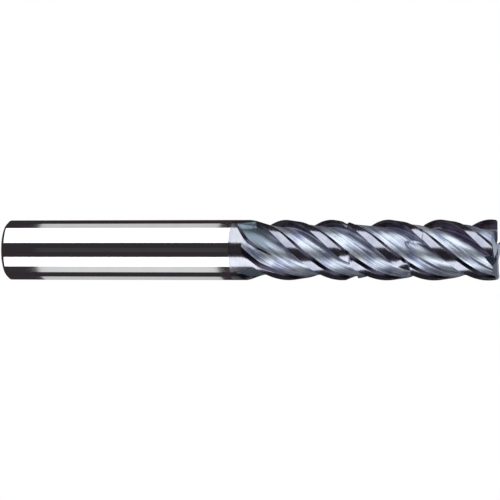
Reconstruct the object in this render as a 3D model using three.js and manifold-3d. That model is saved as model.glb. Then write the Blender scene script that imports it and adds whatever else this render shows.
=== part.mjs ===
// Solid carbide end mill, 12 mm diameter, 100 mm long: a ground cylindrical shank and a coated cutting
// part with four right-hand helical teeth of slightly different helix angle. It stands on its shank
// end: the origin is the centre of that face and +Z runs along the tool's axis to the cutting end.
// Lengths are millimetres and angles are degrees unless a name says otherwise.
import * as THREE from "three";
import { mergeVertices } from "three/addons/utils/BufferGeometryUtils.js";
import Module from "manifold-3d";

// Driving dimensions
const TOOL_RADIUS = 6;
const TOOL_LENGTH = 100;
const SHANK_LENGTH = 47; // bare shank; the coating starts here
const SHANK_CHAMFER = 0.6;
const SHANK_SIDES = 72;
const RUNOUT_TOP = 57; // the flutes are at full width above this height
const END_TEETH_HEIGHT = 3.5;
const END_BOTTOM = TOOL_LENGTH - END_TEETH_HEIGHT;

// Teeth in the order in which they stand round the axis: the corner's angle at the cutting end, the
// helix angle, and the distance from the cutting end to the wall of the first chip breaker.
const TEETH = [
  { corner: 17, helix: 43.3, breaker: 14.1 },
  { corner: 110, helix: 42.3, breaker: 16.8 },
  { corner: 194, helix: 42.6, breaker: 15.9 },
  { corner: 287, helix: 44.1, breaker: 15.4 },
];

// Tooth section
const LAND_WIDTH = 18.5; // primary relief land, behind the cutting edge
const LAND_WIDTH_AT_START = 8;
const LAND_CUTS = 3;
const RELIEF_ANGLE = 9;
const HEEL_WIDTH = 8; // steep facet behind the land
const HEEL_WIDTH_AT_START = 12;
const HEEL_DROP = 0.48;
const RAKE_ANGLE = 6;
const RAKE_DEPTH = 1.45;
const RAKE_AT_START = 0.1; // share of its depth that the rake face has at the flute's tip
const RAKE_CUTS = 2;

// Flute section
const BACK_DEPTH = 1.2; // below the tool's radius, where the wide back meets the gullet
const BACK_ANGLE = 32; // from the cutting edge to the back, in the gullet's drawing
const BACK_SLOPE = 0.1;
const RAKE_PULL = 1.15; // lengths of the gullet curve's handles
const BACK_PULL = 2;
const GULLET_SHARE = 0.5; // share of the flute's width that the gullet takes
const GULLET_SAMPLES = 24;
const GULLET_CUTS = 6;

// Front pass: a deeper cut in the front of each flute, with a rounded nose where the wheel enters
const FRONT_ANGLE = 47; // its edge on the heel's side, ahead of the cutting edge
const FRONT_DEPTH = 0.5;
const FRONT_WALL = 3;
const FRONT_START = 82;
const FRONT_FULL = 84;
const FRONT_NOSE_ANGLE = 36;
const FRONT_AT_EDGE = 87.2; // height where it reaches the cutting edge
const FRONT_MARGIN = 4; // keeps its edge clear of the gullet and the heel lower down

// Run-outs at the shank end of the flutes
const FLUTE_START = 48.2;
const FLUTE_FULL = 57.6;
const FLUTE_ENTRY = 0.8; // a steep step where the wheel enters
const FLUTE_ENTRY_SHARE = 0.22;
const FLUTE_TIP_SHARE = 0.5; // where the tip lies across the flute
const FLUTE_TIP_WIDTH = 0.1;
const FLUTE_WIDEST_SHARE = 0.78;
const FLUTE_WIDEST_AT = 50.9;
const FLUTE_WALL = 17; // sloping wall on the heel's side, in degrees at the tip
const FLUTE_WALL_LAST = 1.5;
const FLUTE_WALL_SHARE = 0.4;
const FLUTE_WALL_END = 55.6;
const SOFT_SHARE = 0.6; // share of the floor that rises towards the rake's side at the tip
const HEEL_START = 49.6;
const HEEL_FULL = 52.6;
const EDGE_FULL = 51.8; // the flute reaches the cutting edge here
const LAND_SETTLED = 56.6;
const GULLET_SETTLED = 59.6;

// Chip breakers: sawtooth notches with a ramp on the shank side and a wall on the cutting end's side
const BREAKER_LENGTH = 2.4;
const BREAKER_DEPTH = 0.95;
const BREAKER_PITCH = 12.7;
const BREAKERS_PER_TOOTH = 2;
const BREAKER_CLEAR = 1;

// End teeth
const DISH_ANGLE = 1.5;
const CORNER_RADIUS = 0.5;
const END_EDGE_FLAT = 0.1;
const END_EDGE_ANGLE = 1;
const END_RELIEF = 7;
const END_RELIEF_WIDTH = 1.1;
const END_CLEARANCE = 12;
const GASH_ANGLE = 20; // the gash's floor falls outwards
const GASH_SIDE = 36;
const GASH_START = [0.35, 0.75, 0.35, 0.75]; // depth on the axis; two teeth cut to the centre
const GASH_WALL = 0.4; // degrees taken by the gash's steep wall
const END_COLUMNS = 12; // per tooth
const END_ROWS = [0.03, 0.6, 1.3, 2.2, 3.2, 4.4, 5.5, 5.75, 5.93, 6, 6.4];
const END_BLOCK = 1; // how far the shaping block reaches below the end teeth

const SLICE = 1; // mm between sections
const MERGE_DISTANCE = 1e-4;

const radians = THREE.MathUtils.degToRad;
const degrees = THREE.MathUtils.radToDeg;
const { clamp, smoothstep, lerp } = THREE.MathUtils;

const wasm = await Module();
wasm.setup();

/** A circular run-out: 0 where the grinding wheel enters, 1 at full depth. */
function wheelDepth(z, start, full) {
  const short = clamp((full - z) / (full - start), 0, 1);
  return 1 - short * short;
}

/** Angle of a tooth's cutting edge at height z, in degrees. */
function edgeAngle(tooth, z) {
  const turn = (TOOL_LENGTH - z) * Math.tan(radians(tooth.helix));
  return tooth.corner - degrees(turn / TOOL_RADIUS);
}

/** Extra depth of the front pass at an angle ahead of the cutting edge. */
function frontCut(ahead, z) {
  if (z <= FRONT_START) return 0;
  const reached = wheelDepth(z, FRONT_START, FRONT_FULL);
  const heelSide = lerp(FRONT_NOSE_ANGLE, FRONT_ANGLE, reached);
  const short = (FRONT_AT_EDGE - z) / (FRONT_AT_EDGE - FRONT_START);
  const rakeSide = FRONT_NOSE_ANGLE * short * Math.abs(short);
  const inside = Math.min(heelSide - ahead, ahead - rakeSide) / FRONT_WALL;
  return FRONT_DEPTH * reached * clamp(inside, 0, 1);
}

/** How far the rake face has leant back at a depth below the tool's radius, in degrees. */
function rakeSweep(depth) {
  return degrees((depth * Math.tan(radians(RAKE_ANGLE))) / (TOOL_RADIUS - depth));
}

/** The gullet at full depth, as {share, depth}: share runs from 0 at the rake's foot to 1 at the back. */
function gulletShape() {
  const axis = new THREE.Vector2();
  const sweep = radians(rakeSweep(RAKE_DEPTH));
  const foot = new THREE.Vector2(TOOL_RADIUS - RAKE_DEPTH, 0).rotateAround(axis, -sweep);
  const back = new THREE.Vector2(TOOL_RADIUS - BACK_DEPTH, 0).rotateAround(axis, radians(BACK_ANGLE));
  const inward = foot.clone().sub(new THREE.Vector2(TOOL_RADIUS, 0)).setLength(RAKE_PULL);
  const outward = back.clone().normalize();
  const along = new THREE.Vector2(-outward.y, outward.x).addScaledVector(outward, BACK_SLOPE);
  const handle = back.clone().addScaledVector(along, -BACK_PULL);
  const curve = new THREE.CubicBezierCurve(foot, foot.clone().add(inward), handle, back);
  return curve.getPoints(GULLET_SAMPLES).map((p) => ({
    share: (Math.atan2(p.y, p.x) + sweep) / (radians(BACK_ANGLE) + sweep),
    depth: TOOL_RADIUS - p.length(),
  }));
}
const GULLET = gulletShape();

/** The gullet's full depth at a share of its width. */
function gulletDepth(share) {
  const next = Math.max(1, GULLET.findIndex((point) => point.share >= share));
  const [low, high] = [GULLET[next - 1], GULLET[next]];
  return lerp(low.depth, high.depth, (share - low.share) / (high.share - low.share));
}

/** The share of its depth that a flute has at height z. */
function fluteDepth(z) {
  const entry = clamp((z - FLUTE_START) / FLUTE_ENTRY, 0, 1);
  return lerp(wheelDepth(z, FLUTE_START, FLUTE_FULL), entry, FLUTE_ENTRY_SHARE);
}

/** The angle, ahead of the cutting edge, where the gullet meets the back. */
function gulletEnd(span, z) {
  const opened = wheelDepth(z, FLUTE_START, FLUTE_WIDEST_AT);
  const opening = lerp(FLUTE_TIP_SHARE + FLUTE_TIP_WIDTH, FLUTE_WIDEST_SHARE, opened);
  const settled = clamp((z - FLUTE_WIDEST_AT) / (GULLET_SETTLED - FLUTE_WIDEST_AT), 0, 1);
  return span * lerp(opening, GULLET_SHARE, settled);
}

/** How far the flute has opened towards the cutting edge at height z: 0 at its tip, 1 at the edge. */
function edgeOpened(z) {
  return clamp((z - FLUTE_START) / (EDGE_FULL - FLUTE_START), 0, 1);
}

/** Whole steps from 1 to count, as shares. */
function steps(count) {
  return Array.from({ length: count }, (_, i) => (i + 1) / count);
}

/** The gullet's floor and its wall on the heel's side at height z, as [angle, radius] points. */
function gulletPoints(start, foot, end, heelDepth, z) {
  const opened = edgeOpened(z);
  const soft = SOFT_SHARE * (1 - opened);
  const closed = clamp((FLUTE_WALL_END - z) / (FLUTE_WALL_END - FLUTE_START), 0, 1);
  const wall = Math.min(lerp(FLUTE_WALL_LAST, FLUTE_WALL, closed), FLUTE_WALL_SHARE * (end - start));
  return steps(GULLET_CUTS).map((step) => {
    const ahead = lerp(foot.angle, end - wall, step);
    const share = (ahead - foot.angle) / (end - foot.angle);
    const full = gulletDepth(share) * fluteDepth(z);
    const depth = share < soft ? lerp(foot.depth, full, smoothstep(share, 0, soft)) : full;
    return [ahead, TOOL_RADIUS - Math.max(depth, BACK_DEPTH * heelDepth) - frontCut(ahead, z)];
  });
}

/**
 * One tooth and the flute ahead of it at height z, as [angle, radius] points in the order heel foot,
 * heel edge, land, cutting edge, rake, rake foot, gullet, back.
 */
function toothPoints(index, z) {
  const tooth = TEETH[index];
  const next = TEETH[(index + 1) % TEETH.length];
  const edge = edgeAngle(tooth, z);
  const pitch = (((edgeAngle(next, z) - edge) % 360) + 360) % 360;
  const settled = smoothstep(z, HEEL_FULL, LAND_SETTLED);
  const land = lerp(LAND_WIDTH_AT_START, LAND_WIDTH, settled);
  const heelWidth = lerp(HEEL_WIDTH_AT_START, HEEL_WIDTH, settled);
  const heelDepth = wheelDepth(z, HEEL_START, HEEL_FULL) * wheelDepth(z, FLUTE_START, FLUTE_FULL);
  const relief = TOOL_RADIUS * Math.tan(radians(RELIEF_ANGLE)) * heelDepth;
  const landRadius = (behind) => TOOL_RADIUS - relief * radians(Math.max(0, behind));

  const span = pitch - land - heelWidth;
  const start = span * FLUTE_TIP_SHARE * (1 - edgeOpened(z));
  const end = gulletEnd(span, z);
  const footRadius = landRadius(land) - HEEL_DROP * heelDepth;
  const back = (ahead) => {
    const radius = lerp(TOOL_RADIUS - BACK_DEPTH * heelDepth, footRadius, (ahead - end) / (span - end));
    return radius - frontCut(ahead, z);
  };

  const points = [[-land - heelWidth, footRadius]];
  for (const share of [0, ...steps(LAND_CUTS)]) {
    const ahead = lerp(-land, start, share);
    points.push([ahead, landRadius(-ahead)]);
  }
  const rakeDepth = RAKE_DEPTH * fluteDepth(z) * lerp(RAKE_AT_START, 1, edgeOpened(z));
  const foot = { angle: start - rakeSweep(rakeDepth), depth: rakeDepth };
  const deepest = rakeDepth + frontCut(foot.angle, z);
  for (const share of steps(RAKE_CUTS)) {
    points.push([start - rakeSweep(deepest * share), TOOL_RADIUS - deepest * share]);
  }
  points.push(...gulletPoints(start, foot, end, heelDepth, z));
  const line = clamp(FRONT_ANGLE, end + FRONT_MARGIN, span - FRONT_MARGIN);
  const wallTop = line - FRONT_WALL;
  for (const ahead of [end, (end + wallTop) / 2, wallTop, line, (line + span) / 2]) {
    points.push([ahead, back(ahead)]);
  }
  return points.map(([ahead, radius]) => {
    const angle = radians(edge + ahead);
    return new THREE.Vector3(radius * Math.cos(angle), radius * Math.sin(angle), z);
  });
}
const TOOTH_POINTS = 2 + LAND_CUTS + RAKE_CUTS; // of toothPoints, how many outline the tooth itself
const FOOT_OF_RAKE = TOOTH_POINTS - 1;

/** The whole cutting part's outline at height z, counterclockwise seen from the cutting end. */
function fullSection(z) {
  return TEETH.flatMap((_, index) => toothPoints(index, z));
}

/** The core's outline: each tooth is left out, and a straight cut joins its heel foot and rake foot. */
function coreSection(z) {
  return TEETH.flatMap((_, index) => {
    const points = toothPoints(index, z);
    return [points[0], ...points.slice(FOOT_OF_RAKE)];
  });
}

/** Heights from low to high, about SLICE apart. */
function heights(low, high) {
  const steps = Math.ceil((high - low) / SLICE);
  return Array.from({ length: steps + 1 }, (_, i) => lerp(low, high, i / steps));
}

/** A closed solid through outlines with the same number of points. splitBack picks each quad's diagonal. */
function loft(rings, splitBack = false) {
  const count = rings[0].length;
  const triangles = [];
  for (let row = 0; row < rings.length - 1; row++) {
    for (let i = 0; i < count; i++) {
      const j = (i + 1) % count;
      const [a, b, c, d] = [rings[row][i], rings[row][j], rings[row + 1][j], rings[row + 1][i]];
      triangles.push(...(splitBack ? [a, b, d, b, c, d] : [a, b, c, a, c, d]));
    }
  }
  for (const [ring, up] of [[rings[0], false], [rings.at(-1), true]]) {
    const outline = ring.map((p) => new THREE.Vector2(p.x, p.y));
    for (const [a, b, c] of THREE.ShapeUtils.triangulateShape(outline, [])) {
      triangles.push(...(up ? [ring[a], ring[b], ring[c]] : [ring[a], ring[c], ring[b]]));
    }
  }
  return new THREE.BufferGeometry().setFromPoints(triangles);
}

/** A three.js geometry as a manifold-3d solid. */
function solidOf(geometry) {
  const bare = new THREE.BufferGeometry();
  bare.setAttribute("position", geometry.getAttribute("position"));
  bare.setIndex(geometry.index);
  const merged = mergeVertices(bare, MERGE_DISTANCE);
  const vertProperties = merged.getAttribute("position").array;
  const triVerts = new Uint32Array(merged.index.array);
  return new wasm.Manifold(new wasm.Mesh({ numProp: 3, vertProperties, triVerts }));
}

/** A manifold-3d solid as a three.js geometry. */
function geometryOf(solid) {
  const mesh = solid.getMesh();
  const geometry = new THREE.BufferGeometry();
  geometry.setAttribute("position", new THREE.BufferAttribute(mesh.vertProperties, 3));
  geometry.setIndex(new THREE.BufferAttribute(mesh.triVerts, 1));
  return geometry.toNonIndexed();
}

/** A ring with a sawtooth section that cuts one chip breaker; its wall stands at height z. */
function breakerRing(z) {
  const clear = TOOL_RADIUS + BREAKER_CLEAR;
  const profile = [
    [TOOL_RADIUS, z - BREAKER_LENGTH],
    [clear, z - BREAKER_LENGTH],
    [clear, z],
    [TOOL_RADIUS - BREAKER_DEPTH, z],
    [TOOL_RADIUS, z - BREAKER_LENGTH],
  ].map(([r, y]) => new THREE.Vector2(r, y));
  return new THREE.LatheGeometry(profile, SHANK_SIDES).rotateX(Math.PI / 2);
}

function toothGeometry(index) {
  const rings = heights(RUNOUT_TOP, END_BOTTOM).map((z) => toothPoints(index, z).slice(0, TOOTH_POINTS));
  let solid = solidOf(loft(rings));
  for (let i = 0; i < BREAKERS_PER_TOOTH; i++) {
    const wall = TOOL_LENGTH - TEETH[index].breaker - i * BREAKER_PITCH;
    solid = solid.subtract(solidOf(breakerRing(wall)));
  }
  return geometryOf(solid);
}

/** Height of the end teeth's surface at a radius and an angle ahead of tooth index's end edge. */
function endHeight(index, radius, ahead, pitch) {
  const side = radius * Math.sin(radians(Math.min(ahead, 90)));
  const floor = TOOL_LENGTH - GASH_START[index] - radius * Math.tan(radians(GASH_ANGLE));
  const gash = floor + side * Math.tan(radians(GASH_SIDE));
  const away = radius * Math.sin(radians(Math.min(pitch - ahead, 90)));
  const behind = Math.max(0, away - END_EDGE_FLAT);
  const primary = Math.min(behind, END_RELIEF_WIDTH);
  const relief = primary * Math.tan(radians(END_RELIEF));
  const clearance = (behind - primary) * Math.tan(radians(END_CLEARANCE));
  const cornerStart = TOOL_RADIUS - CORNER_RADIUS;
  const dish = Math.max(0, cornerStart - radius) * Math.tan(radians(DISH_ANGLE));
  const round = clamp(radius - cornerStart, 0, CORNER_RADIUS);
  const corner = CORNER_RADIUS - Math.sqrt(CORNER_RADIUS ** 2 - round ** 2);
  return Math.min(TOOL_LENGTH - dish - corner - relief - clearance, gash);
}

/** Everything below the end teeth's surface: columns round the axis, each running out from the axis. */
function belowEndTeeth() {
  const bottom = END_BOTTOM - END_BLOCK;
  const columns = TEETH.flatMap((tooth, index) => {
    const next = TEETH[(index + 1) % TEETH.length];
    const pitch = (next.corner - tooth.corner + 360) % 360;
    const shares = [0, ...steps(END_COLUMNS - 1)];
    const turns = [...shares.map((share) => lerp(GASH_WALL, pitch - END_EDGE_ANGLE, share)), pitch];
    return turns.map((ahead) => {
      const angle = radians(tooth.corner + ahead);
      return END_ROWS.map((radius) => {
        const z = endHeight(index, radius, ahead, pitch);
        return new THREE.Vector3(radius * Math.cos(angle), radius * Math.sin(angle), z);
      });
    });
  });
  const onFloor = (p) => new THREE.Vector3(p.x, p.y, bottom);
  const peak = new THREE.Vector3(0, 0, TOOL_LENGTH - GASH_START[0]);
  const foot = new THREE.Vector3(0, 0, bottom);
  const triangles = [];
  columns.forEach((near, i) => {
    const far = columns[(i + 1) % columns.length];
    triangles.push(peak, near[0], far[0], foot, onFloor(far.at(-1)), onFloor(near.at(-1)));
    for (let row = 0; row < END_ROWS.length - 1; row++) {
      triangles.push(near[row], near[row + 1], far[row + 1], near[row], far[row + 1], far[row]);
    }
    const [a, b] = [near.at(-1), far.at(-1)];
    triangles.push(a, onFloor(a), onFloor(b), a, onFloor(b), b);
  });
  return new THREE.BufferGeometry().setFromPoints(triangles);
}

function endTeethGeometry() {
  const blank = solidOf(loft(heights(END_BOTTOM, TOOL_LENGTH).map(fullSection)));
  return geometryOf(blank.intersect(solidOf(belowEndTeeth())));
}

function shankGeometry() {
  const profile = [
    [0, 0],
    [TOOL_RADIUS - SHANK_CHAMFER, 0],
    [TOOL_RADIUS, SHANK_CHAMFER],
    [TOOL_RADIUS, SHANK_LENGTH],
    [0, SHANK_LENGTH],
  ].map(([r, y]) => new THREE.Vector2(r, y));
  return new THREE.LatheGeometry(profile, SHANK_SIDES);
}

const bareCarbide = new THREE.MeshStandardMaterial({ color: 0xd5d6d8, roughness: 0.08, metalness: 1 });
const coatedCarbide = new THREE.MeshStandardMaterial({ color: 0x6b6c7d, roughness: 0.3, metalness: 1 });

function piece(name, geometry, material) {
  const mesh = new THREE.Mesh(geometry, material);
  mesh.name = name;
  return mesh;
}

const endMill = new THREE.Group();

const shank = piece("shank", shankGeometry(), bareCarbide);
shank.rotation.x = Math.PI / 2;
endMill.add(shank);

endMill.add(piece("flute_runout", loft(heights(SHANK_LENGTH, RUNOUT_TOP).map(fullSection)), coatedCarbide));
endMill.add(piece("flute_core", loft(heights(RUNOUT_TOP, END_BOTTOM).map(coreSection), true), coatedCarbide));
TEETH.forEach((_, index) => {
  endMill.add(piece(`tooth_${index + 1}`, toothGeometry(index), coatedCarbide));
});
endMill.add(piece("end_teeth", endTeethGeometry(), coatedCarbide));

export default endMill;
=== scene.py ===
"""Solid carbide end mill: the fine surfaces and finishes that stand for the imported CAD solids.

The tool stands on its shank end. Every length in a class is in millimetres and every angle in degrees
unless its name says otherwise; meshes are scaled to metres when they are made.
"""
import logging
import math
from dataclasses import dataclass, field, replace
from enum import Enum
from typing import Callable, Sequence

import bmesh
import bpy
import numpy as np
from mathutils import Matrix, Vector


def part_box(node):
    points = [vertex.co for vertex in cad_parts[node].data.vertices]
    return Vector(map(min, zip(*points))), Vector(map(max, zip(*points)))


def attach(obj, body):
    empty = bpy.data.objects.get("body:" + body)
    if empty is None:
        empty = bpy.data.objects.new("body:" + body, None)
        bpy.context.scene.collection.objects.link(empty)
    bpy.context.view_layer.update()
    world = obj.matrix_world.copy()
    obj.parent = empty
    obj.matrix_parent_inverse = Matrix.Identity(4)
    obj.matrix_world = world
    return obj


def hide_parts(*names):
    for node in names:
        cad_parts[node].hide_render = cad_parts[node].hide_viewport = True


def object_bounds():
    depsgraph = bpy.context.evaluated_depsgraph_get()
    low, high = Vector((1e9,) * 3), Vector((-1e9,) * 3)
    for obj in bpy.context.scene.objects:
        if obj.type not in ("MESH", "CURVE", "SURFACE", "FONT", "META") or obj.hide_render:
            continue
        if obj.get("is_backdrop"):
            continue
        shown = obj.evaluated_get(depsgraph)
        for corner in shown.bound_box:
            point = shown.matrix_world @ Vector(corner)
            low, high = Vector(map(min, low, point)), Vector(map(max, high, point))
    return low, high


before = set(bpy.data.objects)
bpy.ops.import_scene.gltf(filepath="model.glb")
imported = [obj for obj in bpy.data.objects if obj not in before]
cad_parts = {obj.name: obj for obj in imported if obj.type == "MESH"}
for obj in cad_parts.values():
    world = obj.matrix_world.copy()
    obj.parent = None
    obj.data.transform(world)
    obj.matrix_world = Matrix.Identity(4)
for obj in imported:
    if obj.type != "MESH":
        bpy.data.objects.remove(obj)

MM = 0.001
LOG = logging.getLogger("end_mill")
BODY = "root"
CREASE = 28.0  # faces that meet at a greater angle than this are shaded apart
POINT_DIGITS = 5  # points that are equal to this many decimals are one point
HEIGHT_DIGITS = 6
TINY = 1e-12
NOISE_MIDDLE = 0.5

Ring = list[tuple[float, float, float]]
Polar = list[tuple[float, float]]  # angle ahead of a cutting edge, radius
Colour = tuple[float, float, float, float]
Socket = bpy.types.NodeSocket
Settings = dict[str, object]
Inputs = dict[str | int, object]  # a value, a Value or an output socket for each input

WHITE: Colour = (1.0, 1.0, 1.0, 1.0)


# ---- Small mathematics ----


def lerp(low: float, high: float, share: float) -> float:
    """Returns the value that lies share of the way from low to high."""
    return low + (high - low) * share


def clamp(value: float, low: float = 0.0, high: float = 1.0) -> float:
    """Returns value, held between low and high."""
    return max(low, min(high, value))


def smoothstep(value: float, low: float, high: float) -> float:
    """Returns 0 below low, 1 above high and a smooth S between."""
    share = clamp((value - low) / (high - low))
    return share * share * (3.0 - 2.0 * share)


def wheel_depth(z: float, start: float, full: float) -> float:
    """Returns the share of its depth that a wheel reaches at z: 0 at start, 1 at full."""
    short = clamp((full - z) / (full - start))
    return 1.0 - short * short


def spread(low: float, high: float, step: float) -> list[float]:
    """Returns even stations from low to high, no more than step apart."""
    count = math.ceil((high - low) / step)
    return [lerp(low, high, i / count) for i in range(count + 1)]


# ---- Node trees ----


class Value:
    """A number in a node tree. Arithmetic on it adds Math nodes."""

    def __init__(self, nodes: "Nodes", socket: Socket) -> None:
        """Wraps the output socket of a tree."""
        self.nodes = nodes
        self.socket = socket

    def math(self, operation: str, *others: "Value | float") -> "Value":
        """Adds one Math node, with this as its first operand, and returns its result."""
        inputs = dict(enumerate((self, *others)))
        return self.nodes.value("ShaderNodeMath", {"operation": operation}, inputs)

    def __add__(self, other: "Value | float") -> "Value":
        """Returns self + other."""
        return self.math("ADD", other)

    __radd__ = __add__

    def __mul__(self, other: "Value | float") -> "Value":
        """Returns self * other."""
        return self.math("MULTIPLY", other)

    __rmul__ = __mul__

    def __sub__(self, other: "Value | float") -> "Value":
        """Returns self - other."""
        return self.math("SUBTRACT", other)

    def __rsub__(self, other: float) -> "Value":
        """Returns other - self."""
        return (self * -1.0) + other

    def step(self, low: float, high: float) -> "Value":
        """Turns a range of this number into a smooth change from 0 to 1.

        Args:
            low: where the change begins.
            high: where it ends.

        Returns:
            0 where this is below low, 1 where it is above high.
        """
        settings = {"interpolation_type": "SMOOTHSTEP", "clamp": True}
        inputs = {"Value": self, "From Min": low, "From Max": high}
        return self.nodes.value("ShaderNodeMapRange", settings, inputs)


class Nodes:
    """Adds nodes to one tree."""

    def __init__(self, tree: bpy.types.NodeTree) -> None:
        """Takes over an empty tree."""
        self.tree = tree

    def add(
        self, kind: str, settings: Settings | None = None, inputs: Inputs | None = None
    ) -> bpy.types.Node:
        """Adds a node.

        Args:
            kind: the node's type name.
            settings: properties of the node, set before its sockets.
            inputs: what each named or numbered input gets.

        Returns:
            The new node.
        """
        node = self.tree.nodes.new(kind)
        for name, setting in (settings or {}).items():
            setattr(node, name, setting)
        for name, given in (inputs or {}).items():
            source = given.socket if isinstance(given, Value) else given
            if isinstance(source, Socket):
                self.tree.links.new(source, node.inputs[name])
            else:
                node.inputs[name].default_value = source
        return node

    def value(
        self, kind: str, settings: Settings | None, inputs: Inputs, output: str | int = 0
    ) -> Value:
        """Adds a node as add does, and returns one of its outputs as a Value."""
        return Value(self, self.add(kind, settings, inputs).outputs[output])

    def mix(self, share: Value, low: object, high: object) -> Socket:
        """Mixes two colours or colour sockets: low at share 0, high at share 1."""
        node = self.add("ShaderNodeMix", {"data_type": "RGBA"}, {0: share, 6: low, 7: high})
        return node.outputs[2]

    def vector(self, operation: str, inputs: Inputs) -> Socket:
        """Adds a Vector Math node and returns its vector output."""
        return self.add("ShaderNodeVectorMath", {"operation": operation}, inputs).outputs[0]

    def noise(self, where: Socket, scale: float, detail: float = 2.0) -> Value:
        """Returns a noise texture's value, from 0 to 1, at a place."""
        inputs = {"Vector": where, "Scale": scale, "Detail": detail}
        return self.value("ShaderNodeTexNoise", None, inputs)


# ---- Finishes ----


class Grain(Enum):
    """The way that grinding lines run."""

    ROUND = "round the axis"
    HELIX = "along the flutes"


@dataclass(frozen=True)
class GroundPattern:
    """How lines, clouds and scuffs make up a ground surface. Scales count per millimetre."""

    round_stretch: tuple[float, float, float] = (0.04, 0.04, 1.0)
    helix_stretch: tuple[float, float, float] = (1.0, 1.0, 0.05)
    line_detail: float = 3.0
    line_share: float = 0.6  # the rest of a streak is coarse
    coarse_scale: float = 0.22  # of the fine lines' scale
    coarse_detail: float = 1.0
    cloud_scale: float = 0.35
    cloud_tint: float = 0.8
    scuff_scale: float = 5.0
    scuff_detail: float = 4.0
    scuff_tint: float = 0.3
    tint_range: float = 0.3


@dataclass(frozen=True)
class GroundFinish:
    """A ground metal surface: grinding lines, cloudy tint and roughness, fine scuffs, and painted shade
    at the bottom of the flutes.
    """

    name: str
    tint: Colour
    shade: Colour
    roughness: float
    lines_per_mm: float
    line_height: float
    line_tint: float
    grain: Grain = Grain.HELIX
    roughness_spread: float = 0.05
    slot: str = "coated_carbide"
    metallic: float = 1.0
    # painted shade: the colour that the bottom of the flutes darkens to
    painted_deep_shade: Colour | None = None  # seen at the bottom of the flutes
    deep_radius: float = 3.8
    shallow_radius: float = 4.5
    deep_unevenness: float = 0.5
    start_tint: Colour | None = None  # seen at the shank end of the flutes
    start_bottom: float = 53.0
    start_top: float = 58.5
    start_unevenness: float = 2.0
    helix_lead: float = 40.4
    pattern: GroundPattern = GroundPattern()

    def place(self, nodes: Nodes) -> tuple[Socket, Socket]:
        """Works out where the pattern is read.

        Args:
            nodes: the material's tree.

        Returns:
            The place on the tool in millimetres, and the same place stretched along the grain.
        """
        here = nodes.add("ShaderNodeTexCoord").outputs["Object"]
        place = nodes.vector("SCALE", {0: here, "Scale": 1.0 / MM})
        if self.grain is Grain.ROUND:
            return place, nodes.vector("MULTIPLY", {0: place, 1: self.pattern.round_stretch})
        height = nodes.value("ShaderNodeSeparateXYZ", None, {0: place}, "Z")
        untwist = height * (-math.tau / self.helix_lead)
        settings = {"rotation_type": "Z_AXIS"}
        along = nodes.add("ShaderNodeVectorRotate", settings, {"Vector": place, "Angle": untwist})
        stretched = {0: along.outputs[0], 1: self.pattern.helix_stretch}
        return place, nodes.vector("MULTIPLY", stretched)

    def colour(self, nodes: Nodes, place: Socket, streaks: Value, share: Value) -> Socket:
        """Mixes the base colour, with painted shade at the bottom of the flutes.

        Args:
            nodes: the material's tree.
            place: the place on the tool in millimetres.
            streaks: the pattern of the grinding lines.
            share: how much of the tint shows, rather than the shade.

        Returns:
            The colour's socket.
        """
        colour = nodes.mix(share, self.shade, self.tint)
        # Painted shade: inside shallow_radius the colour darkens, and it reaches the deep colour at
        # deep_radius.
        if self.painted_deep_shade:
            flat = nodes.vector("MULTIPLY", {0: place, 1: (1.0, 1.0, 0.0)})
            radius = nodes.value("ShaderNodeVectorMath", {"operation": "LENGTH"}, {0: flat}, "Value")
            uneven = radius + streaks * self.deep_unevenness
            shallow = uneven.step(self.deep_radius, self.shallow_radius)
            colour = nodes.mix(shallow, self.painted_deep_shade, colour)
        if self.start_tint:
            height = nodes.value("ShaderNodeSeparateXYZ", None, {0: place}, "Z")
            uneven = height + streaks * self.start_unevenness
            settled = uneven.step(self.start_bottom, self.start_top)
            colour = nodes.mix(settled, self.start_tint, colour)
        return colour

    def material(self) -> bpy.types.Material:
        """Makes the finish's material, once.

        Returns:
            The material.
        """
        made = bpy.data.materials.get(self.name)
        if made:
            return made
        made = bpy.data.materials.new(self.name)
        made.use_nodes = True
        made.node_tree.nodes.clear()
        nodes = Nodes(made.node_tree)
        place, grain = self.place(nodes)
        parts = self.pattern
        lines = nodes.noise(grain, self.lines_per_mm, parts.line_detail)
        coarse = nodes.noise(grain, self.lines_per_mm * parts.coarse_scale, parts.coarse_detail)
        clouds = nodes.noise(place, parts.cloud_scale)
        scuffs = nodes.noise(place, parts.scuff_scale, parts.scuff_detail)
        streaks = lines * parts.line_share + coarse * (1.0 - parts.line_share)
        cloudy = (clouds - NOISE_MIDDLE) * parts.cloud_tint
        streaky = (streaks - NOISE_MIDDLE) * self.line_tint
        scuffed = (scuffs - NOISE_MIDDLE) * parts.scuff_tint
        share = (cloudy + streaky + scuffed).step(-parts.tint_range, parts.tint_range)
        colour = self.colour(nodes, place, streaks, share)
        rough = (clouds + scuffs - 2.0 * NOISE_MIDDLE) * self.roughness_spread + self.roughness
        inputs = {"Height": streaks, "Distance": self.line_height * MM, "Strength": 1.0}
        bump = nodes.add("ShaderNodeBump", None, inputs)
        surface = {
            "Base Color": colour,
            "Metallic": self.metallic,
            "Roughness": rough,
            "Normal": bump.outputs[0],
        }
        shader = nodes.add("ShaderNodeBsdfPrincipled", None, surface)
        nodes.add("ShaderNodeOutputMaterial", None, {"Surface": shader.outputs[0]})
        return made


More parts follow.
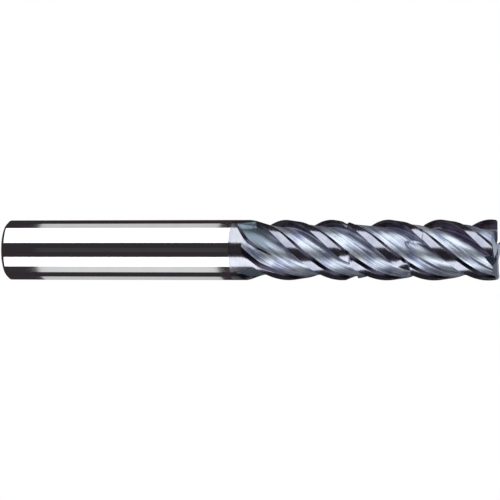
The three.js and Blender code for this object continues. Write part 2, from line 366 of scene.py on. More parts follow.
BARE = GroundFinish(
    name="bare_polished_carbide",
    slot="bare_carbide",
    tint=(0.86, 0.865, 0.87, 1.0),
    shade=(0.80, 0.81, 0.82, 1.0),
    roughness=0.045,
    roughness_spread=0.03,
    grain=Grain.ROUND,
    lines_per_mm=7.0,
    line_height=0.0002,
    line_tint=0.3,
)
COLLAR = GroundFinish(
    name="coated_round_ground",
    tint=(0.54, 0.56, 0.61, 1.0),
    shade=(0.40, 0.41, 0.49, 1.0),
    roughness=0.14,
    grain=Grain.ROUND,
    lines_per_mm=5.0,
    line_height=0.003,
    line_tint=0.5,
)
FLUTE = GroundFinish(
    name="coated_flute_ground",
    tint=(0.70, 0.78, 0.87, 1.0),
    shade=(0.21, 0.24, 0.40, 1.0),
    roughness=0.34,
    roughness_spread=0.08,
    lines_per_mm=3.2,
    line_height=0.1,
    line_tint=2.2,
    metallic=0.8,
    # painted shade at the bottom of the flutes
    painted_deep_shade=(0.15, 0.12, 0.22, 1.0),
)
GULLET = replace(FLUTE, name="coated_gullet_ground", start_tint=(0.20, 0.26, 0.32, 1.0))
# The coating's purple-brown hue, darkened almost to black: painted shade on the rake faces.
RAKE_PAINTED_SHADE = GroundFinish(
    name="coated_rake_painted_shade",
    tint=(0.28, 0.225, 0.29, 1.0),
    shade=(0.05, 0.038, 0.055, 1.0),
    roughness=0.33,
    roughness_spread=0.06,
    lines_per_mm=2.4,
    line_height=0.03,
    line_tint=1.4,
    metallic=0.92,
)
LAND = GroundFinish(
    name="coated_land_ground",
    tint=(0.47, 0.50, 0.57, 1.0),
    shade=(0.31, 0.32, 0.42, 1.0),
    roughness=0.17,
    lines_per_mm=5.0,
    line_height=0.004,
    line_tint=0.6,
)
# Painted shade: the coating darkened almost to black, for the heels and the run-outs' walls.
HEEL_PAINTED_SHADE = GroundFinish(
    name="coated_heel_painted_shade",
    tint=(0.085, 0.08, 0.12, 1.0),
    shade=(0.045, 0.04, 0.062, 1.0),
    roughness=0.26,
    lines_per_mm=4.0,
    line_height=0.01,
    line_tint=0.8,
)
END = GroundFinish(
    name="coated_end_ground",
    tint=(0.37, 0.47, 0.65, 1.0),
    shade=(0.21, 0.27, 0.41, 1.0),
    roughness=0.3,
    grain=Grain.ROUND,
    lines_per_mm=4.0,
    line_height=0.003,
    line_tint=0.6,
    metallic=0.8,
)
# The end's finish is first, because faces that a boolean cut makes get the first slot.
COATED = (END, FLUTE, GULLET, LAND, HEEL_PAINTED_SHADE, RAKE_PAINTED_SHADE, COLLAR)


# ---- The form of the teeth and flutes ----


@dataclass(frozen=True)
class Tooth:
    """Where one helical tooth stands."""

    corner: float  # the corner's angle at the cutting end
    helix: float
    breaker: float  # from the cutting end to the wall of the first chip breaker


@dataclass
class CuttingForm:
    """The shape of the coated part: four teeth, the flutes between them, and their run-outs."""

    radius: float
    length: float
    teeth: tuple[Tooth, ...] = (
        Tooth(17.0, 43.3, 14.1),
        Tooth(110.0, 42.3, 16.8),
        Tooth(194.0, 42.6, 15.9),
        Tooth(287.0, 44.1, 15.4),
    )
    # The tooth: land, heel and rake, in degrees round the axis or millimetres inwards.
    land_width: float = 18.5
    land_width_at_start: float = 8.0
    relief_angle: float = 9.0
    heel_width: float = 8.0
    heel_width_at_start: float = 12.0
    heel_drop: float = 0.48
    rake_angle: float = 6.0
    rake_depth: float = 1.45
    rake_at_start: float = 0.1
    soft_share: float = 0.6
    # The gullet's curve, from the rake's foot to the back.
    back_depth: float = 1.2
    back_angle: float = 32.0
    back_slope: float = 0.1
    rake_pull: float = 1.15
    back_pull: float = 2.0
    gullet_share: float = 0.5
    back_blend: float = 1.5
    # The front pass, a second cut that deepens the flutes near the cutting end.
    front_angle: float = 47.0
    front_depth: float = 0.5
    front_wall: float = 3.0
    front_start: float = 82.0
    front_full: float = 84.0
    front_nose_angle: float = 36.0
    front_at_edge: float = 87.2
    # The run-outs. A share is of the angle from the cutting edge to the next tooth's heel.
    flute_start: float = 48.2
    flute_full: float = 57.6
    flute_entry: float = 0.8
    flute_entry_share: float = 0.22
    flute_tip_share: float = 0.5
    flute_tip_width: float = 0.1
    flute_widest_share: float = 0.78
    flute_widest_at: float = 50.9
    flute_wall: float = 17.0
    flute_wall_share: float = 0.4
    flute_wall_end: float = 55.6
    heel_start: float = 49.6
    heel_full: float = 52.6
    edge_full: float = 51.8
    gullet_settled: float = 59.6
    land_settled: float = 56.6
    # The chip breakers.
    breaker_length: float = 2.4
    breaker_depth: float = 0.95
    breaker_pitch: float = 12.7
    breakers_per_tooth: int = 2
    # How many faces each part of a section has.
    heel_cuts: int = 4
    land_cuts: int = 10
    rake_cuts: int = 6
    gullet_cuts: int = 20
    wall_cuts: int = 4
    back_cuts: int = 22
    gullet: list[tuple[float, float]] = field(init=False)

    def __post_init__(self) -> None:
        """Works out the gullet's curve."""
        self.gullet = self.gullet_curve()

    @property
    def per_tooth(self) -> int:
        """The number of points of one tooth and its flute in a section."""
        return self.heel_cuts + self.land_cuts + self.rake_cuts + self.gullet_cuts + self.back_cuts

    @property
    def rake_foot(self) -> int:
        """The index, within one tooth's points, of the foot of its rake face."""
        return self.heel_cuts + self.land_cuts + self.rake_cuts

    def edge_angle(self, tooth: Tooth, z: float) -> float:
        """Returns the angle of a tooth's cutting edge at height z."""
        turn = (self.length - z) * math.tan(math.radians(tooth.helix))
        return tooth.corner - math.degrees(turn / self.radius)

    def rake_sweep(self, depth: float) -> float:
        """Returns how far the rake face has leant back, in degrees, at a depth."""
        return math.degrees(depth * math.tan(math.radians(self.rake_angle)) / (self.radius - depth))

    def gullet_curve(self) -> list[tuple[float, float]]:
        """Draws the gullet as a Bezier curve.

        Returns:
            (share of its width, depth) points from the rake's foot to the back.
        """
        start = Matrix.Rotation(-math.radians(self.rake_sweep(self.rake_depth)), 2)
        end = Matrix.Rotation(math.radians(self.back_angle), 2)
        foot = start @ Vector((self.radius - self.rake_depth, 0.0))
        back = end @ Vector((self.radius - self.back_depth, 0.0))
        inward = (foot - Vector((self.radius, 0.0))).normalized() * self.rake_pull
        outward = back.normalized()
        along = Vector((-outward.y, outward.x)) + outward * self.back_slope
        handles = (foot, foot + inward, back - along * self.back_pull, back)
        first = math.atan2(foot.y, foot.x)
        last = math.radians(self.back_angle)
        curve = []
        for i in range(self.gullet_cuts + 1):
            t = i / self.gullet_cuts
            weights = ((1 - t) ** 3, 3 * t * (1 - t) ** 2, 3 * t * t * (1 - t), t**3)
            point = sum((w * h for w, h in zip(weights, handles)), Vector((0.0, 0.0)))
            angle = math.atan2(point.y, point.x)
            curve.append(((angle - first) / (last - first), self.radius - point.length))
        return curve

    def front_cut(self, ahead: float, z: float) -> float:
        """Works out the front pass.

        Args:
            ahead: the angle ahead of the cutting edge.
            z: the height along the tool.

        Returns:
            The depth that it adds there.
        """
        if z <= self.front_start:
            return 0.0
        reached = wheel_depth(z, self.front_start, self.front_full)
        heel_side = lerp(self.front_nose_angle, self.front_angle, reached)
        short = (self.front_at_edge - z) / (self.front_at_edge - self.front_start)
        rake_side = self.front_nose_angle * short * abs(short)
        inside = min(heel_side - ahead, ahead - rake_side) / self.front_wall
        return self.front_depth * reached * clamp(inside)

    def gullet_depth(self, share: float) -> float:
        """Returns the gullet's full depth at a share of its width."""
        shares, depths = zip(*self.gullet)
        return float(np.interp(share, shares, depths))

    def flute_depth(self, z: float) -> float:
        """Returns the share of its depth that a flute has at height z."""
        entry = clamp((z - self.flute_start) / self.flute_entry)
        return lerp(wheel_depth(z, self.flute_start, self.flute_full), entry, self.flute_entry_share)

    def gullet_end(self, span: float, z: float) -> float:
        """Works out where the gullet meets the back.

        Args:
            span: the angle from the cutting edge to the next tooth's heel.
            z: the height along the tool.

        Returns:
            The meeting's angle ahead of the cutting edge.
        """
        opened = wheel_depth(z, self.flute_start, self.flute_widest_at)
        opening = lerp(self.flute_tip_share + self.flute_tip_width, self.flute_widest_share, opened)
        settling = (z - self.flute_widest_at) / (self.gullet_settled - self.flute_widest_at)
        return span * lerp(opening, self.gullet_share, clamp(settling))

    def breaker_walls(self, tooth: Tooth) -> list[float]:
        """Returns the heights of a tooth's chip breaker walls."""
        first = self.length - tooth.breaker
        return [first - i * self.breaker_pitch for i in range(self.breakers_per_tooth)]

    def breaker_radius(self, tooth: Tooth, z: float) -> float:
        """Works out the ramp of a chip breaker.

        Args:
            tooth: the tooth that it is cut in.
            z: the height along the tool.

        Returns:
            The radius that is left there.
        """
        for wall in self.breaker_walls(tooth):
            into = z - (wall - self.breaker_length)
            if 0.0 <= into <= self.breaker_length:
                return self.radius - self.breaker_depth * into / self.breaker_length
        return self.radius

    def section(self, z: float) -> Ring:
        """Returns the whole outline at height z, anticlockwise seen from the cutting end."""
        return [p for index in range(len(self.teeth)) for p in ToothSection(self, index, z).ring()]


class ToothSection:
    """One tooth and the flute ahead of it at one height, in angles ahead of the cutting edge."""

    def __init__(self, form: CuttingForm, index: int, z: float) -> None:
        """Works out the section's widths and depths.

        Args:
            form: the shape of the coated part.
            index: the tooth's number, from 0.
            z: the section's height.
        """
        tooth = form.teeth[index]
        next_tooth = form.teeth[(index + 1) % len(form.teeth)]
        settled = smoothstep(z, form.heel_full, form.land_settled)
        closed = clamp((form.flute_wall_end - z) / (form.flute_wall_end - form.flute_start))
        self.form = form
        self.z = z
        self.edge = form.edge_angle(tooth, z)
        pitch = (form.edge_angle(next_tooth, z) - self.edge) % 360.0
        self.land = lerp(form.land_width_at_start, form.land_width, settled)
        self.heel_width = lerp(form.heel_width_at_start, form.heel_width, settled)
        self.span = pitch - self.land - self.heel_width
        self.flute = form.flute_depth(z)
        self.heel = wheel_depth(z, form.heel_start, form.heel_full)
        self.heel *= wheel_depth(z, form.flute_start, form.flute_full)
        self.slope = form.radius * math.tan(math.radians(form.relief_angle)) * self.heel
        self.heel_foot = form.radius - self.slope * math.radians(self.land) - form.heel_drop * self.heel
        self.notch = form.breaker_radius(tooth, z)
        self.opened = clamp((z - form.flute_start) / (form.edge_full - form.flute_start))
        self.start = self.span * form.flute_tip_share * (1.0 - self.opened)
        self.end = form.gullet_end(self.span, z)
        widest_wall = form.flute_wall_share * (self.end - self.start)
        self.wall = min(lerp(form.back_blend, form.flute_wall, closed), widest_wall)
        rake_depth = form.rake_depth * self.flute * lerp(form.rake_at_start, 1.0, self.opened)
        self.rake_foot = self.start - form.rake_sweep(rake_depth)
        self.rake_depth = rake_depth + form.front_cut(self.rake_foot, z)

    def land_radius(self, ahead: float) -> float:
        """Returns the land's radius at an angle, which is below 0 on the land."""
        behind = math.radians(max(0.0, -ahead))
        return min(self.notch, self.form.radius - self.slope * behind)

    def tooth_points(self) -> Polar:
        """Outlines the tooth.

        Returns:
            Points up the heel, over the land and down the rake face.
        """
        form = self.form
        points = []
        for i in range(form.heel_cuts):
            up = i / form.heel_cuts
            radius = lerp(self.heel_foot, self.land_radius(-self.land), up)
            points.append((-self.land - self.heel_width * (1.0 - up), radius))
        for i in range(form.land_cuts + 1):
            ahead = lerp(-self.land, self.start, i / form.land_cuts)
            points.append((ahead, self.land_radius(ahead)))
        for i in range(1, form.rake_cuts + 1):
            depth = self.rake_depth * i / form.rake_cuts
            radius = min(self.notch, form.radius - depth)
            points.append((self.start - form.rake_sweep(depth), radius))
        return points

    def gullet_depth(self, ahead: float) -> float:
        """Works out the gullet's depth without the front pass.

        Args:
            ahead: the angle ahead of the cutting edge.

        Returns:
            The depth below the tool's radius.
        """
        form = self.form
        soft = form.soft_share * (1.0 - self.opened)
        share = (ahead - self.rake_foot) / (self.end - self.rake_foot)
        depth = form.gullet_depth(share) * self.flute
        if share < soft:
            depth = lerp(self.rake_depth, depth, smoothstep(share, 0.0, soft))
        return lerp(form.back_depth * self.heel, depth, clamp((self.end - ahead) / self.wall))

    def flute_points(self) -> Polar:
        """Outlines the flute.

        Returns:
            Points over the gullet and up the back, to the next tooth's heel.
        """
        form = self.form
        floor_cuts = form.gullet_cuts - form.wall_cuts
        wall_foot = self.end - self.wall
        aheads = [lerp(self.rake_foot, wall_foot, i / floor_cuts) for i in range(1, floor_cuts)]
        aheads += [lerp(wall_foot, self.end, i / form.wall_cuts) for i in range(form.wall_cuts)]
        radii = [form.radius - self.gullet_depth(ahead) for ahead in aheads]
        for i in range(form.back_cuts):
            share = i / form.back_cuts
            aheads.append(lerp(self.end, self.span, share))
            radii.append(lerp(form.radius - form.back_depth * self.heel, self.heel_foot, share))
        return [(a, r - form.front_cut(a, self.z)) for a, r in zip(aheads, radii)]

    def ring(self) -> Ring:
        """Returns the outline, anticlockwise from the heel's foot to the end of the flute."""
        polar = [(math.radians(self.edge + a), r) for a, r in self.tooth_points() + self.flute_points()]
        return [(r * math.cos(turn), r * math.sin(turn), self.z) for turn, r in polar]


# ---- Meshes ----


@dataclass
class Sheet:
    """A grid of points, rings of the same length, with a shading normal at each face's corner."""

    rings: np.ndarray  # ring, point, xyz
    crease: float = CREASE
    area: np.ndarray = field(init=False)
    faces: np.ndarray = field(init=False)

    def __post_init__(self) -> None:
        """Works out the size and the normal of each face."""
        below, above = self.rings[:-1], self.rings[1:]
        near_below, near_above = np.roll(below, -1, 1), np.roll(above, -1, 1)
        cross = np.cross(near_above - below, above - near_below)
        size = np.linalg.norm(cross, axis=2, keepdims=True)
        self.area = size
        self.faces = cross / np.maximum(size, TINY)

    def corner_normals(self, row: int, column: int) -> list[np.ndarray]:
        """Works out the shading normals of one face.

        Args:
            row: the ring below the face.
            column: the point at the face's start.

        Returns:
            The normals at its four corners, anticlockwise from its start.
        """
        own = self.faces[row, column]
        limit = math.cos(math.radians(self.crease))
        rows, columns = self.faces.shape[:2]
        normals = []
        for up, along in ((0, 0), (0, 1), (1, 1), (1, 0)):
            total = np.zeros(3)
            for i in (row + up - 1, row + up):
                for j in (column + along - 1, column + along):
                    if 0 <= i < rows:
                        other = self.faces[i, j % columns]
                        if other @ own > limit:
                            total += other * self.area[i, j % columns]
            length = np.linalg.norm(total)
            normals.append(total / length if length > 0.0 else own)
        return normals


class Piece:
    """Gathers the faces of one closed piece and makes its object."""

    def __init__(self, name: str) -> None:
        """Starts an empty piece.

        Args:
            name: the name of the object that it becomes.
        """
        self.name = name
        self.points: list[tuple[float, ...]] = []
        self.numbers: dict[tuple[float, ...], int] = {}
        self.polygons: list[list[int]] = []
        self.normals: list[list[Sequence[float]]] = []
        self.finishes: list[int] = []

    def number(self, point: Sequence[float]) -> int:
        """Finds a point, or adds it if it is new.

        Args:
            point: its place in millimetres.

        Returns:
            Its index.
        """
        key = tuple(round(float(c), POINT_DIGITS) for c in point)
        if key not in self.numbers:
            self.numbers[key] = len(self.points)
            self.points.append(tuple(float(c) for c in point))
        return self.numbers[key]

    def face(
        self,
        corners: Sequence[Sequence[float]],
        normals: Sequence[Sequence[float]] | None = None,
        finish: int = 0,
    ) -> None:
        """Adds a face, unless fewer than three of its points differ.

        Args:
            corners: its points, anticlockwise seen from outside.
            normals: a shading normal for each; flat if left out.
            finish: the number of its material slot.
        """
        polygon = [self.number(p) for p in corners]
        kept = [i for i, n in enumerate(polygon) if n != polygon[i - 1]]
        if len(kept) < 3 or len({polygon[i] for i in kept}) < 3:
            return
        self.polygons.append([polygon[i] for i in kept])
        self.normals.append([normals[i] if normals else (0.0, 0.0, 0.0) for i in kept])
        self.finishes.append(finish)

    def row(
        self, sheet: Sheet, row: int, columns: Sequence[int], finish: Callable[[int, float], int]
    ) -> None:
        """Adds one row of a sheet's faces.

        Args:
            sheet: holds them.
            row: the ring below them.
            columns: which faces of the row.
            finish: the material slot's number for a column and a height.
        """
        count = sheet.rings.shape[1]
        low, high = sheet.rings[row], sheet.rings[row + 1]
        middle = (low[0][2] + high[0][2]) / 2.0
        for column in columns:
            i, j = column % count, (column + 1) % count
            normals = sheet.corner_normals(row, i)
            self.face((low[i], low[j], high[j], high[i]), normals, finish(i, middle))

    def caps(self, lowest: Ring, highest: Ring) -> None:
        """Closes the piece with a flat polygon across its lowest and its highest ring."""
        self.face(list(reversed(lowest)))
        self.face(list(highest))

    def object(self, *finishes: GroundFinish) -> bpy.types.Object:
        """Makes the object, in metres.

        Args:
            finishes: one for each material slot.

        Returns:
            The object, linked to the scene.
        """
        mesh = bpy.data.meshes.new(self.name)
        mesh.from_pydata([tuple(c * MM for c in p) for p in self.points], [], self.polygons)
        mesh.polygons.foreach_set("material_index", self.finishes)
        mesh.polygons.foreach_set("use_smooth", [True] * len(self.polygons))
        for finish in finishes:
            mesh.materials.append(finish.material())
        mesh.update()
        corners = []
        for polygon, normals in zip(mesh.polygons, self.normals):
            flat = tuple(polygon.normal)
            corners.extend(tuple(n) if any(n) else flat for n in normals)
        mesh.normals_split_custom_set(corners)
        return add_object(self.name, mesh)


def add_object(name: str, data: bpy.types.ID) -> bpy.types.Object:
    """Makes an object of a mesh or a camera.

    Args:
        name: the object's name.
        data: what it shows.

    Returns:
        The object, linked to the scene.
    """
    made = bpy.data.objects.new(name, data)
    bpy.context.scene.collection.objects.link(made)
    return made


def install(made: bpy.types.Object, node: str) -> None:
    """Puts a piece on the tool's body in place of its CAD node.

    Args:
        made: the piece.
        node: the CAD node that it stands for.
    """
    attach(made, BODY)
    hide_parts(node)
    LOG.info("%s: %d faces", made.name, len(made.data.polygons))


# ---- Sub-assemblies ----


@dataclass
class Shank:
    """The bare ground cylinder that a holder grips."""

    radius: float
    height: float
    chamfer: float = 0.6
    edge_round: float = 0.06
    edge_sag: float = 0.15  # how far a rounded edge falls back, as a share of the rounding
    first_ring: float = 1.0
    ring_step: float = 3.0
    sides: int = 192
    crease: float = 40.0

    def profile(self) -> list[tuple[float, float]]:
        """Draws the shank's side.

        Returns:
            (radius, height) points from the rear face's rim up to the coating.
        """
        rim = self.radius - self.chamfer
        blend = self.edge_round
        sag = self.edge_sag * blend
        points = [
            (rim - blend, 0.0),
            (rim, sag),
            (rim + blend, blend),
            (self.radius - blend, self.chamfer - blend),
            (self.radius - sag, self.chamfer),
            (self.radius, self.chamfer + blend),
        ]
        plain = spread(self.chamfer + self.first_ring, self.height, self.ring_step)
        return points + [(self.radius, z) for z in plain]

    def build(self) -> None:
        """Makes the shank in place of its CAD node."""
        rings = []
        for r, z in self.profile():
            turns = (math.tau * i / self.sides for i in range(self.sides))
            rings.append([(r * math.cos(t), r * math.sin(t), z) for t in turns])
        sheet = Sheet(np.array(rings), self.crease)
        piece = Piece("ground_shank")
        for row in range(len(rings) - 1):
            piece.row(sheet, row, range(self.sides), lambda column, z: 0)
        piece.caps(rings[0], rings[-1])
        install(piece.object(BARE), "shank")


@dataclass
class CuttingPart:
    """The coated part: run-outs, core, helical teeth and end teeth, all on one sheet."""

    form: CuttingForm
    bottom: float
    runout_top: float
    end_bottom: float
    slice_height: float = 0.25
    wall_gap: float = 0.002
    sheet: Sheet = field(init=False)
    top: int = field(init=False)  # the ring between the run-outs and the core
    end: int = field(init=False)  # the ring between the core and the end teeth

    def __post_init__(self) -> None:
        """Works out the sheet and finds the rings where its pieces meet."""
        heights = self.heights()
        self.sheet = Sheet(np.array([self.form.section(z) for z in heights]))
        self.top = heights.index(round(self.runout_top, HEIGHT_DIGITS))
        self.end = heights.index(round(self.end_bottom, HEIGHT_DIGITS))

    def heights(self) -> list[float]:
        """Lists the sheet's stations.

        Returns:
            Their heights, with two at each chip breaker's wall.
        """
        levels = (self.bottom, self.runout_top, self.end_bottom, self.form.length)
        stations = []
        for low, high in zip(levels, levels[1:]):
            stations += spread(low, high, self.slice_height)
        for tooth in self.form.teeth:
            for wall in self.form.breaker_walls(tooth):
                stations += [wall - self.form.breaker_length, wall, wall + self.wall_gap]
        return sorted(set(round(z, HEIGHT_DIGITS) for z in stations))

    def finish_of(self, column: int, z: float) -> int:
        """Picks the finish of one face.

        Args:
            column: the face's number in its row.
            z: the height of its middle.

        Returns:
            The finish's place in COATED.
        """
        form = self.form
        within = column % form.per_tooth
        land = form.heel_cuts
        rake = land + form.land_cuts
        gullet = rake + form.rake_cuts
        wall = gullet + form.gullet_cuts - form.wall_cuts
        back = gullet + form.gullet_cuts
        # Painted shade: the heels, the run-outs' walls and the rake faces get dark copies of the
        # coating.
        if land <= within < rake:
            cut = LAND if z > form.heel_full else COLLAR
        elif within < land:
            cut = HEEL_PAINTED_SHADE if z > form.heel_start else COLLAR
        elif within >= back:
            cut = FLUTE if z > form.heel_start else COLLAR
        elif z < form.flute_start:
            cut = COLLAR
        elif within < gullet:
            cut = RAKE_PAINTED_SHADE if z > form.edge_full else GULLET
        elif within >= wall and z < form.flute_wall_end:
            cut = HEEL_PAINTED_SHADE
        else:
            cut = GULLET
        return COATED.index(cut)

    def build(self) -> None:
        """Makes the coated pieces in place of their CAD nodes."""
        self.build_runout()
        self.build_core()
        for index in range(len(self.form.teeth)):
            self.build_tooth(index)
        EndTeeth(self.form).build(self.sheet, self.end, self.finish_of)

    def build_runout(self) -> None:
        """Makes the run-outs, with the collar where the flutes haven't begun."""
        piece = Piece("coated_runout")
        rings = self.sheet.rings
        for row in range(self.top):
            piece.row(self.sheet, row, range(rings.shape[1]), self.finish_of)
        piece.caps(rings[0], rings[self.top])
        install(piece.object(*COATED), "flute_runout")

    def build_core(self) -> None:
        """Makes the core with its flutes, and a flat cut under each tooth."""
        piece = Piece("fluted_core")
        rings = self.sheet.rings
        size = self.form.per_tooth
        foot = self.form.rake_foot
        firsts = range(0, rings.shape[1], size)
        for row in range(self.top, self.end):
            low, high = rings[row], rings[row + 1]
            for first in firsts:
                cut = first + foot
                piece.row(self.sheet, row, range(cut, first + size), self.finish_of)
                piece.face((low[first], low[cut], high[cut], high[first]))
        kept = [first + i for first in firsts for i in (0, *range(foot, size))]
        piece.caps(rings[self.top][kept], rings[self.end][kept])
        install(piece.object(*COATED), "flute_core")

    def build_tooth(self, index: int) -> None:
        """Makes one helical tooth, closed by the cut that it stands on.

        Args:
            index: its number, from 0.
        """
        piece = Piece(f"helical_tooth_{index + 1}")
        rings = self.sheet.rings
        first = index * self.form.per_tooth
        last = first + self.form.rake_foot
        for row in range(self.top, self.end):
            piece.row(self.sheet, row, range(first, last), self.finish_of)
            low, high = rings[row], rings[row + 1]
            piece.face((low[last], low[first], high[first], high[last]))
        piece.caps(rings[self.top][first : last + 1], rings[self.end][first : last + 1])
        install(piece.object(*COATED), f"tooth_{index + 1}")


@dataclass
class EndTeeth:
    """The cutting end: dished end edges with relief, and a gash in front of each."""

    form: CuttingForm
    dish_angle: float = 1.5
    relief_angle: float = 7.0
    relief_width: float = 1.1
    corner_radius: float = 0.5
    edge_flat: float = 0.1
    edge_angle: float = 1.0
    clearance_angle: float = 12.0
    gash_angle: float = 20.0
    gash_side: float = 36.0
    gash_starts: tuple[float, ...] = (0.35, 0.75, 0.35, 0.75)
    wall_sweep: float = 0.4
    column_step: float = 1.5
    row_step: float = 0.15
    corner_rows: int = 8
    reach: float = 6.6
    clear: float = 1.0

    def height(self, index: int, radius: float, ahead: float, pitch: float) -> float:
        """Returns the end surface's height.

        Args:
            index: the end tooth behind the place.
            radius: the place's distance from the axis.
            ahead: its angle ahead of that tooth's end edge.
            pitch: the angle to the next end edge.

        Returns:
            The height along the tool.
        """
        side = radius * math.sin(math.radians(min(ahead, 90.0)))
        floor = self.form.length - self.gash_starts[index]
        floor -= radius * math.tan(math.radians(self.gash_angle))
        gash = floor + side * math.tan(math.radians(self.gash_side))
        away = radius * math.sin(math.radians(min(pitch - ahead, 90.0)))
        behind = max(0.0, away - self.edge_flat)
        primary = min(behind, self.relief_width)
        inward = max(0.0, self.form.radius - self.corner_radius - radius)
        edge = self.form.length - inward * math.tan(math.radians(self.dish_angle))
        relief = primary * math.tan(math.radians(self.relief_angle))
        clearance = (behind - primary) * math.tan(math.radians(self.clearance_angle))
        into = clamp(radius - self.form.radius + self.corner_radius, 0.0, self.corner_radius)
        corner = self.corner_radius - math.sqrt(self.corner_radius**2 - into**2)
        return min(edge - relief - clearance - corner, gash)

    def radii(self) -> list[float]:
        """Lists where a column of the surface is worked out.

        Returns:
            The distances from the axis, closer together round the corner.
        """
        inner = self.form.radius - self.corner_radius
        turns = (math.pi / 2.0 * i / self.corner_rows for i in range(1, self.corner_rows + 1))
        corner = [inner + self.corner_radius * math.sin(t) for t in turns]
        return spread(self.row_step, inner, self.row_step) + corner + [self.reach]

    def surface(self) -> np.ndarray:
        """Works out the end surface.

        Returns:
            Columns round the axis, each with points from the axis outwards.
        """
        teeth = self.form.teeth
        radii = self.radii()
        columns = []
        for index, tooth in enumerate(teeth):
            pitch = (teeth[(index + 1) % len(teeth)].corner - tooth.corner) % 360.0
            turns = spread(self.wall_sweep, pitch - self.edge_angle, self.column_step) + [pitch]
            for ahead in turns:
                turn = math.radians(tooth.corner + ahead)
                across, along = math.cos(turn), math.sin(turn)
                column = [(r * across, r * along, self.height(index, r, ahead, pitch)) for r in radii]
                columns.append(column)
        return np.array(columns)

    def cutter(self) -> bpy.types.Object:
        """Makes the solid that is cut away.

        Returns:
            An object that fills the space above the end surface.
        """
        columns = self.surface()
        lid = self.form.length + self.clear
        piece = Piece("end_cutter")
        peak = (0.0, 0.0, self.form.length - self.gash_starts[0])
        for i, near in enumerate(columns):
            far = columns[(i + 1) % len(columns)]
            piece.face((far[0], near[0], peak))
            for row in range(len(near) - 1):
                piece.face((far[row], far[row + 1], near[row + 1], near[row]))
            a, b = near[-1], far[-1]
            piece.face((a, b, (*b[:2], lid), (*a[:2], lid)))
            piece.face(((*a[:2], lid), (*b[:2], lid), (0.0, 0.0, lid)))
        return piece.object()

    def build(self, sheet: Sheet, end: int, finish_of: Callable[[int, float], int]) -> None:
        """Makes the end teeth in place of their CAD node.

        Args:
            sheet: the coated part's sheet.
            end: the ring that the end teeth start at.
            finish_of: the material slot's number for a column and a height.
        """
        piece = Piece("end_cutting_teeth")
        rows = len(sheet.rings) - 1
        for row in range(end, rows):
            piece.row(sheet, row, range(sheet.rings.shape[1]), finish_of)
        piece.caps(sheet.rings[end], sheet.rings[rows])
        made = piece.object(*COATED)
        cutter = self.cutter()
        cut = made.modifiers.new("end_form", "BOOLEAN")
        cut.operation = "DIFFERENCE"
        cut.solver = "EXACT"
        cut.object = cutter
        bpy.context.view_layer.update()
        shaped = bpy.data.meshes.new_from_object(
            made.evaluated_get(bpy.context.evaluated_depsgraph_get())
        )
        made.modifiers.clear()
        made.data = shaped
        bpy.data.objects.remove(cutter)
        shaped.set_sharp_from_angle(angle=math.radians(CREASE))
        install(made, "end_teeth")


# ---- Studio ----


@dataclass(frozen=True)
class LightCard:
    """A bent card of light round the tool, its sides counted as angles from the camera's side."""

    name: str
    start: float
    stop: float
    bottom: float
    top: float
    strength: float
    distance: float = 300.0
    step: float = 4.0

    def build(self) -> None:
        """Makes the card, which the camera doesn't see."""
        turns = [math.radians(t) for t in spread(self.start, self.stop, self.step)]
        reach = self.distance * MM
        points = [
            (-reach * math.sin(turn), -reach * math.cos(turn), z * MM)
            for turn in turns
            for z in (self.bottom, self.top)
        ]
        quads = [(2 * i, 2 * i + 1, 2 * i + 3, 2 * i + 2) for i in range(len(turns) - 1)]
        mesh = bpy.data.meshes.new(self.name)
        mesh.from_pydata(points, [], quads)
        mesh.materials.append(glow(self.name, self.strength))
        card = add_object(self.name, mesh)
        card.visible_camera = False
        card.visible_shadow = False
        card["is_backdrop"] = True


def glow(name: str, strength: float) -> bpy.types.Material:
    """Returns an emission material.

    Args:
        name: the material's name.
        strength: how bright it is.

    Returns:
        The material.
    """
    material = bpy.data.materials.new(name)
    material.use_nodes = True
    material.node_tree.nodes.clear()
    nodes = Nodes(material.node_tree)
    light = nodes.add("ShaderNodeEmission", None, {"Color": WHITE, "Strength": strength})
    nodes.add("ShaderNodeOutputMaterial", None, {"Surface": light.outputs[0]})
    return material


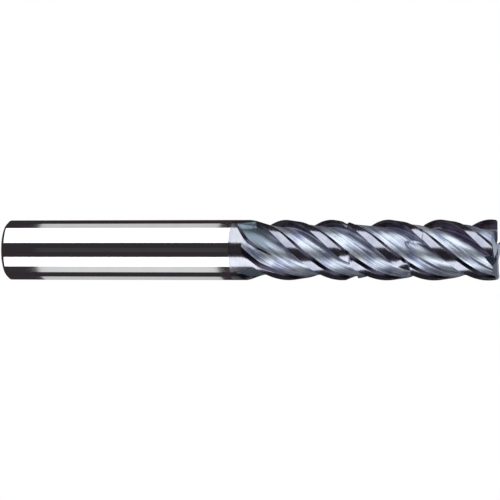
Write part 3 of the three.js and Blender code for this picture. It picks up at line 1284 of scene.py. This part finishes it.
@dataclass
class Studio:
    """A pale floor, soft light cards round the tool, and the camera."""

    distance: float = 636.0
    elevation: float = 12.7
    look_at: float = 50.12
    lens: float = 229.7
    nearest: float = 10.0
    farthest: float = 50000.0
    floor_radius: float = 6000.0
    floor_sides: int = 64
    floor_gap: float = 0.05
    dark: Colour = (0.036, 0.029, 0.034, 1.0)
    cards: tuple[LightCard, ...] = (
        LightCard("upper_card", 27.5, 94.0, -130.0, 288.0, 1.5),
        LightCard("lower_card", -66.0, -27.0, -130.0, 288.0, 1.75),
        LightCard("upper_side_card", 94.0, 122.0, -80.0, -25.0, 0.62),
        LightCard("lower_side_card", -95.0, -66.0, -80.0, -25.0, 0.75),
        LightCard("lower_back_card", -167.0, -125.0, -80.0, -25.0, 0.6),
        LightCard("gap_card", -8.0, 8.0, -80.0, -21.0, 0.05),
        LightCard("end_card", 120.0, 240.0, 105.0, 260.0, 0.8),
    )

    def build(self) -> None:
        """Makes the whole studio."""
        self.build_camera()
        self.build_floor()
        self.build_world()
        for card in self.cards:
            card.build()
        bpy.context.scene.view_settings.view_transform = "Standard"

    def build_camera(self) -> None:
        """Makes the camera, which sees the tool lying on its side."""
        tilt = math.radians(self.elevation)
        back = Vector((0.0, -math.cos(tilt), math.sin(tilt)))
        up = Vector((-1.0, 0.0, 0.0))
        right = up.cross(back)
        data = bpy.data.cameras.new("camera")
        data.lens = self.lens
        data.clip_start = self.nearest * MM
        data.clip_end = self.farthest * MM
        camera = add_object("camera", data)
        place = Vector((0.0, 0.0, self.look_at * MM)) + back * self.distance * MM
        turn = Matrix((right, up, back)).transposed().to_4x4()
        camera.matrix_world = Matrix.Translation(place) @ turn
        bpy.context.scene.camera = camera

    def build_floor(self) -> None:
        """Makes the floor, which is evenly pale and isn't seen in reflections."""
        mesh = bpy.data.meshes.new("floor")
        shape = bmesh.new()
        reach = self.floor_radius * MM
        bmesh.ops.create_circle(shape, cap_ends=True, segments=self.floor_sides, radius=reach)
        shape.to_mesh(mesh)
        shape.free()
        mesh.materials.append(glow("pale_floor", 1.0))
        floor = add_object("floor", mesh)
        floor.location.z = -self.floor_gap * MM
        floor.visible_glossy = False
        floor.visible_shadow = False
        floor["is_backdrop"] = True

    def build_world(self) -> None:
        """Makes the dark room that reflections see, with a plain white backdrop for the camera."""
        world = bpy.data.worlds.new("studio")
        world.use_nodes = True
        world.node_tree.nodes.clear()
        bpy.context.scene.world = world
        nodes = Nodes(world.node_tree)
        room = nodes.add("ShaderNodeBackground", None, {"Color": self.dark})
        plain = nodes.add("ShaderNodeBackground", None, {"Color": WHITE})
        seen = nodes.add("ShaderNodeLightPath").outputs["Is Camera Ray"]
        inputs = {0: seen, 1: room.outputs[0], 2: plain.outputs[0]}
        shown = nodes.add("ShaderNodeMixShader", None, inputs)
        nodes.add("ShaderNodeOutputWorld", None, {"Surface": shown.outputs[0]})


def main() -> None:
    """Builds the tool and the studio."""
    logging.basicConfig(level=logging.INFO, format="%(name)s %(message)s")
    packed = [list(map(float, corner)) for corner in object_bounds()]
    shank_low, shank_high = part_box("shank")
    radius = (shank_high[0] - shank_low[0]) / 2.0 / MM
    Studio().build()
    Shank(radius=radius, height=shank_high[2] / MM).build()
    CuttingPart(
        form=CuttingForm(radius=radius, length=packed[1][2] / MM),
        bottom=shank_high[2] / MM,
        runout_top=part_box("flute_runout")[1][2] / MM,
        end_bottom=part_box("end_teeth")[0][2] / MM,
    ).build()


if __name__ == "__main__":
    main()
